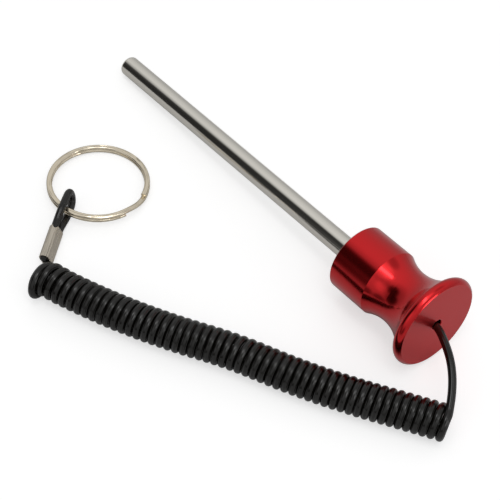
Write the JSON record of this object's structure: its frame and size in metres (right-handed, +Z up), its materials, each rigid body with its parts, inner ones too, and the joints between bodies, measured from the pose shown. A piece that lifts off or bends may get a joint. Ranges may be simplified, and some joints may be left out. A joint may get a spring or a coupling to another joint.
{
  "type": "weight stack pin",
  "caption": "Round steel selector pin with a turned, waisted knob and a curly lanyard cord that ends in a crimped loop with a split ring.",
  "frame": {"origin": "on the table, under the middle of the rod and knob", "axes": "+X along the pin from the rod's tip to the knob's end face, +Z up from the table"},
  "size_m": [0.2447, 0.1341, 0.0422],
  "materials": {
    "plated_steel": "bright zinc-nickel plate, smooth, a few fine scratches",
    "red_anodised_aluminium": "turned and anodised red, satin end face",
    "bare_aluminium": "satin, drawn and crimped",
    "nickel_plated_steel": "bright warm nickel plate",
    "black_cord": "glossy extruded elastomer"
  },
  "bodies": {
    "lanyard": {"cord_end": "black_cord", "cord_lead": "black_cord", "cord_coil": "black_cord", "cord_loop": "black_cord", "cord_stop": "bare_aluminium", "crimp_sleeve": "bare_aluminium"},
    "pin": {"pin_rod": "plated_steel", "pull_knob": "red_anodised_aluminium"},
    "ring": {"split_ring": "nickel_plated_steel"}
  },
  "joints": [
    {"name": "knob_swivel", "type": "hinge", "parent": "lanyard", "child": "pin", "pos_m": [0.10368, 0, 0.02128], "axis": [0.9968, 0, 0.0794], "continuous": true},
    {"name": "ring_swing", "type": "hinge", "parent": "lanyard", "child": "ring", "pos_m": [-0.0492, -0.0746, 0.00531], "axis": [0.9583, 0.2857, 0], "range_deg": [-150, 150]}
  ]
}
